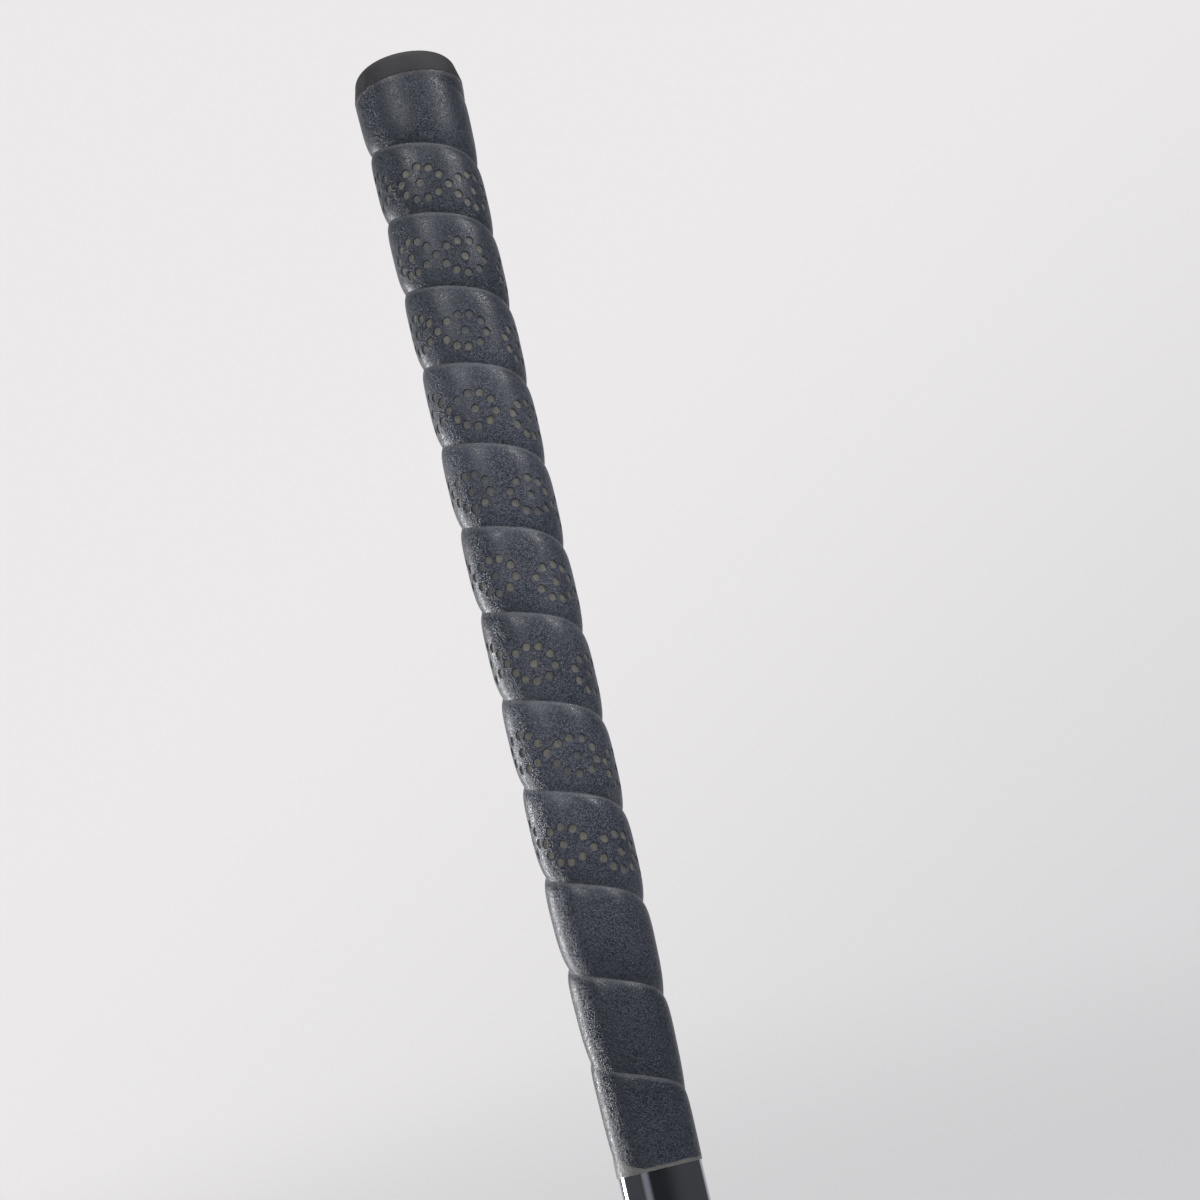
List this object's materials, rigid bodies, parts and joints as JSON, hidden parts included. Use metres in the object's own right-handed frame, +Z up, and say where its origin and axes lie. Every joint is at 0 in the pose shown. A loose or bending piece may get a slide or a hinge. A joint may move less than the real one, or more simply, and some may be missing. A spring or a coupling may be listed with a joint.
{
  "type": "putter",
  "caption": "Golf putter with a tapered wrap-style rubber grip, a stepped steel shaft, an offset neck and a heel and toe weighted blade.",
  "frame": {"origin": "centre of the flat sole, on the ground the soled club stands on", "axes": "+Z up, -Y the way the face looks, +X towards the heel, where the shaft leans over by its lie"},
  "size_m": [0.382, 0.0389, 0.8139],
  "materials": {
    "grip_rubber": "fine sandy grain, satin",
    "cap_rubber": "smooth matte moulded",
    "tape": "crepe paper tape",
    "shaft_chrome": "polished plating",
    "head_steel": "fine satin",
    "insert_metal": "fine milled, anodised dark",
    "pad_foam": "adhesive foam",
    "weight_steel": "turned"
  },
  "bodies": {
    "root": {"butt_cap": "cap_rubber", "grip_sleeve": "grip_rubber", "grip_tape": "tape", "shaft": "shaft_chrome", "hosel_neck": "head_steel", "head_body": "head_steel", "face_insert": "insert_metal", "insert_pad": "pad_foam", "sole_weight_heel": "weight_steel", "sole_weight_toe": "weight_steel"}
  },
  "joints": []
}
